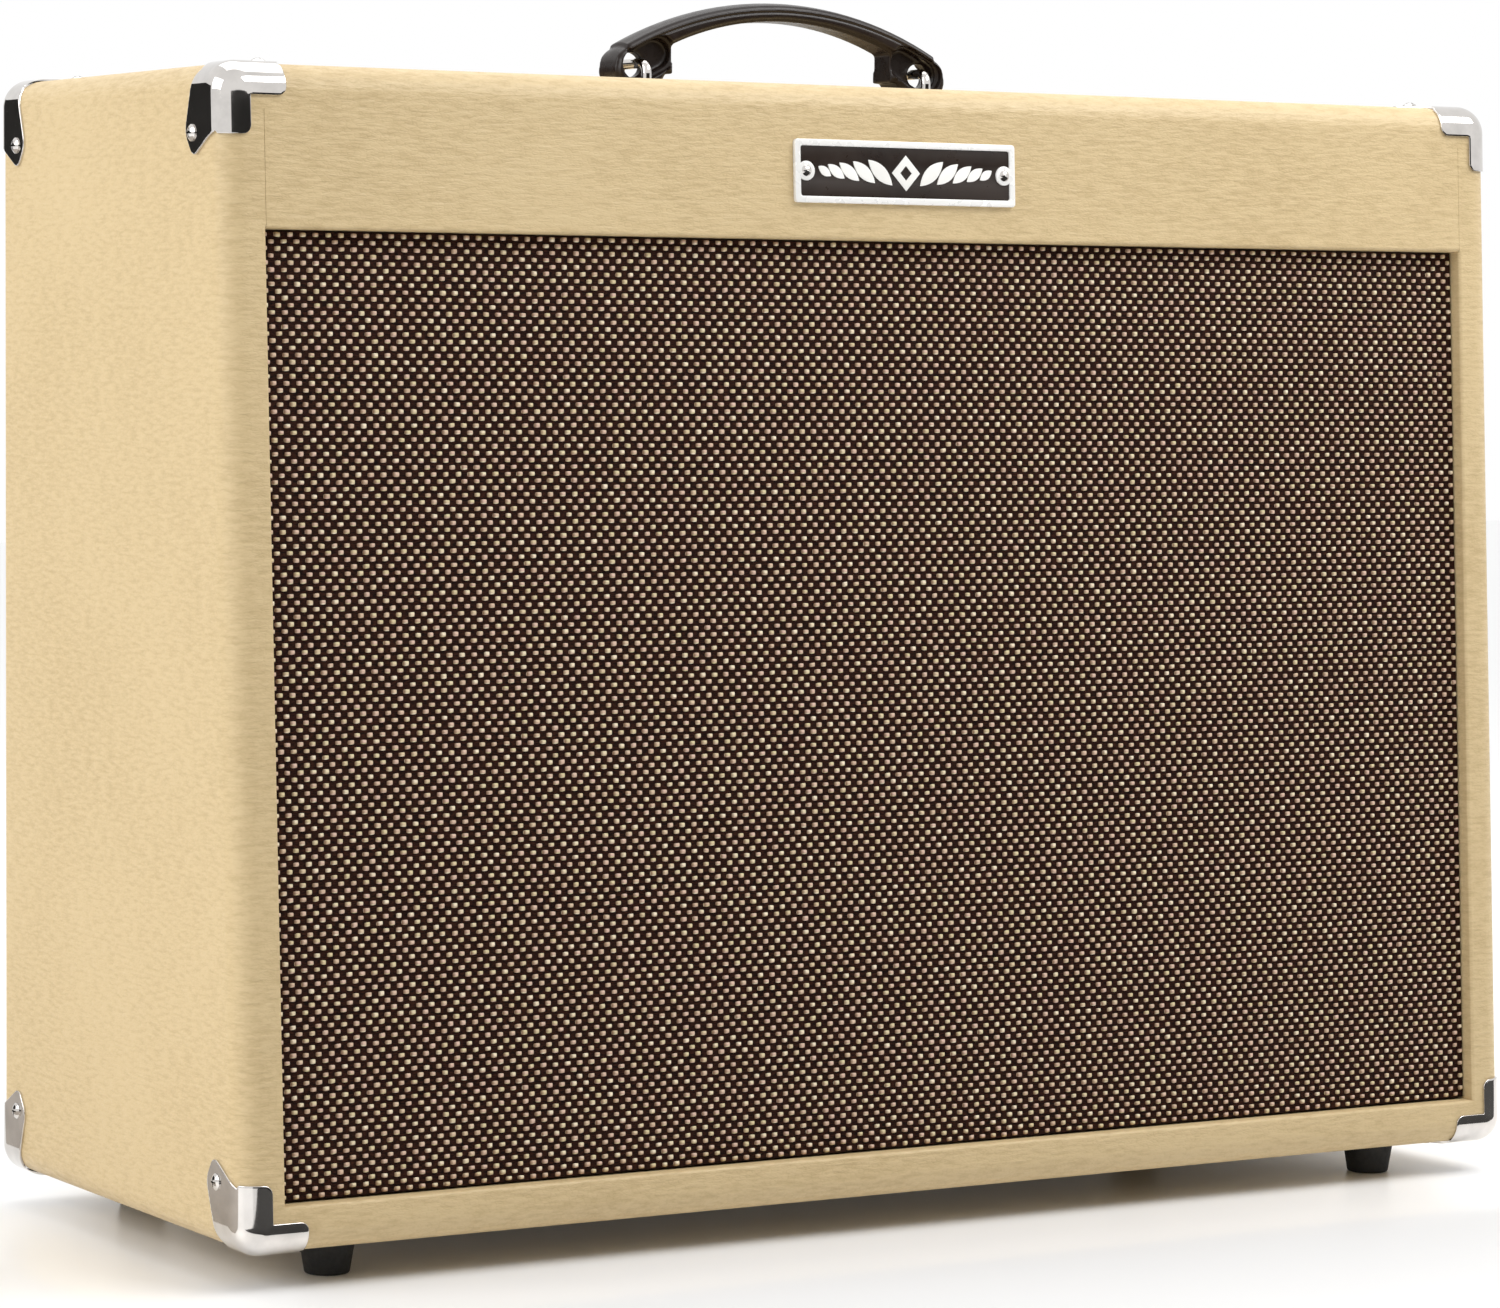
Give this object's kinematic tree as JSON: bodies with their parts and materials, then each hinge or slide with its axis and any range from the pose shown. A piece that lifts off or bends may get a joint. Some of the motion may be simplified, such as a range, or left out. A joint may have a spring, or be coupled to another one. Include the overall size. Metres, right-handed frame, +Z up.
{
  "type": "guitar amplifier",
  "caption": "Open-back guitar amplifier combo with a cream vinyl cabinet, woven grille, chrome corners, arched handle and recessed top controls.",
  "frame": {"origin": "centre of the footprint, on the floor under the feet", "axes": "+Z up, +X to the viewer's right of the front, -Y out of the grille"},
  "size_m": [0.6964, 0.2767, 0.5725],
  "materials": {
    "covered_board": "cream vinyl covering with a fine leather grain, satin",
    "black_board": "black stained or covered board, matte",
    "batten_wood": "bare softwood",
    "grille_cloth": "woven cloth, cream dashes over dark brown",
    "plate_metal": "brushed and lacquered, black field",
    "bright_steel": "bright zinc",
    "handle_plastic": "moulded, dark brown, semi-gloss",
    "chrome": "polished plating",
    "foot_rubber": "matte black",
    "chassis_steel": "plated sheet",
    "panel_paint": "satin brown",
    "knob_plastic": "moulded pointer knob",
    "shaft_metal": "turned",
    "lamp_glass": "red jewel",
    "black_plastic": "moulded",
    "circuit_green": "soldermask",
    "capacitor_sleeve": "sleeved",
    "core_iron": "laminated core and ferrite",
    "sink_aluminium": "extruded",
    "basket_steel": "pressed and painted",
    "cone_paper": "pulp paper cone"
  },
  "bodies": {
    "cabinet": {"left_side_board": "covered_board", "right_side_board": "covered_board", "top_board": "covered_board", "bottom_board": "covered_board", "top_front_panel": "covered_board", "baffle_board": "black_board", "mounting_battens": "batten_wood", "grille_frame": "black_board", "grille_cloth": "grille_cloth", "nameplate": "plate_metal", "nameplate_pins": "bright_steel", "handle_staples": "chrome", "handle_nuts": "bright_steel", "front_top_corner_caps": "chrome", "front_bottom_corner_caps": "chrome", "rear_top_corner_caps": "chrome", "rear_bottom_corner_caps": "chrome", "corner_cap_screws": "bright_steel", "rubber_feet": "foot_rubber", "upper_back_panel": "black_board", "lower_back_panel": "black_board", "back_panel_screws": "bright_steel", "chassis": "chassis_steel", "chassis_rear_plate": "chassis_steel", "control_panel": "panel_paint", "cabinet_screws": "bright_steel", "potentiometers": "chassis_steel", "input_jack": "chassis_steel", "rear_jacks": "chassis_steel", "channel_switch": "chrome", "pilot_lamp_holder": "chrome", "pilot_lamp_lens": "lamp_glass", "power_switch": "black_plastic", "mains_inlet": "black_plastic", "circuit_board": "circuit_green", "capacitors": "capacitor_sleeve", "transformer": "core_iron", "heat_sink": "sink_aluminium", "left_speaker_frame": "basket_steel", "right_speaker_frame": "basket_steel", "left_magnet": "core_iron", "right_magnet": "core_iron", "speaker_bolts": "bright_steel"},
    "volume_knob_body": {"volume_knob": "knob_plastic", "volume_shaft": "shaft_metal"},
    "bass_knob_body": {"bass_knob": "knob_plastic", "bass_shaft": "shaft_metal"},
    "middle_knob_body": {"middle_knob": "knob_plastic", "middle_shaft": "shaft_metal"},
    "treble_knob_body": {"treble_knob": "knob_plastic", "treble_shaft": "shaft_metal"},
    "reverb_knob_body": {"reverb_knob": "knob_plastic", "reverb_shaft": "shaft_metal"},
    "master_knob_body": {"master_knob": "knob_plastic", "master_shaft": "shaft_metal"},
    "handle": {"handle_grip": "handle_plastic"},
    "lever": {"channel_lever": "chrome"},
    "rocker": {"power_rocker": "black_plastic"},
    "left_cone_body": {"left_cone": "cone_paper"},
    "right_cone_body": {"right_cone": "cone_paper"}
  },
  "joints": [
    {"name": "volume_turn", "type": "hinge", "parent": "cabinet", "child": "volume_knob_body", "pos_m": [-0.18, 0.071, 0.5115], "axis": [0, 0, 1], "range_deg": [-150, 150]},
    {"name": "bass_turn", "type": "hinge", "parent": "cabinet", "child": "bass_knob_body", "pos_m": [-0.12, 0.071, 0.5115], "axis": [0, 0, 1], "range_deg": [-150, 150]},
    {"name": "middle_turn", "type": "hinge", "parent": "cabinet", "child": "middle_knob_body", "pos_m": [-0.06, 0.071, 0.5115], "axis": [0, 0, 1], "range_deg": [-150, 150]},
    {"name": "treble_turn", "type": "hinge", "parent": "cabinet", "child": "treble_knob_body", "pos_m": [0, 0.071, 0.5115], "axis": [0, 0, 1], "range_deg": [-150, 150]},
    {"name": "reverb_turn", "type": "hinge", "parent": "cabinet", "child": "reverb_knob_body", "pos_m": [0.06, 0.071, 0.5115], "axis": [0, 0, 1], "range_deg": [-150, 150]},
    {"name": "master_turn", "type": "hinge", "parent": "cabinet", "child": "master_knob_body", "pos_m": [0.12, 0.071, 0.5115], "axis": [0, 0, 1], "range_deg": [-150, 150]},
    {"name": "handle_lift", "type": "slide", "parent": "cabinet", "child": "handle", "axis": [0, 0, 1], "range_m": [0, 0.003]},
    {"name": "channel_toggle", "type": "hinge", "parent": "cabinet", "child": "lever", "pos_m": [0.165, 0.071, 0.5095], "axis": [1, 0, 0], "range_deg": [0, 24]},
    {"name": "power_rock", "type": "hinge", "parent": "cabinet", "child": "rocker", "pos_m": [0.24, 0.071, 0.5055], "axis": [0, 1, 0], "range_deg": [0, 16]},
    {"name": "left_cone_stroke", "type": "slide", "parent": "cabinet", "child": "left_cone_body", "axis": [0, 0.9986, -0.0523], "range_m": [-0.003, 0.003], "stiffness_N_per_m": 6000},
    {"name": "right_cone_stroke", "type": "slide", "parent": "cabinet", "child": "right_cone_body", "axis": [0, 0.9986, -0.0523], "range_m": [-0.003, 0.003], "stiffness_N_per_m": 6000}
  ]
}
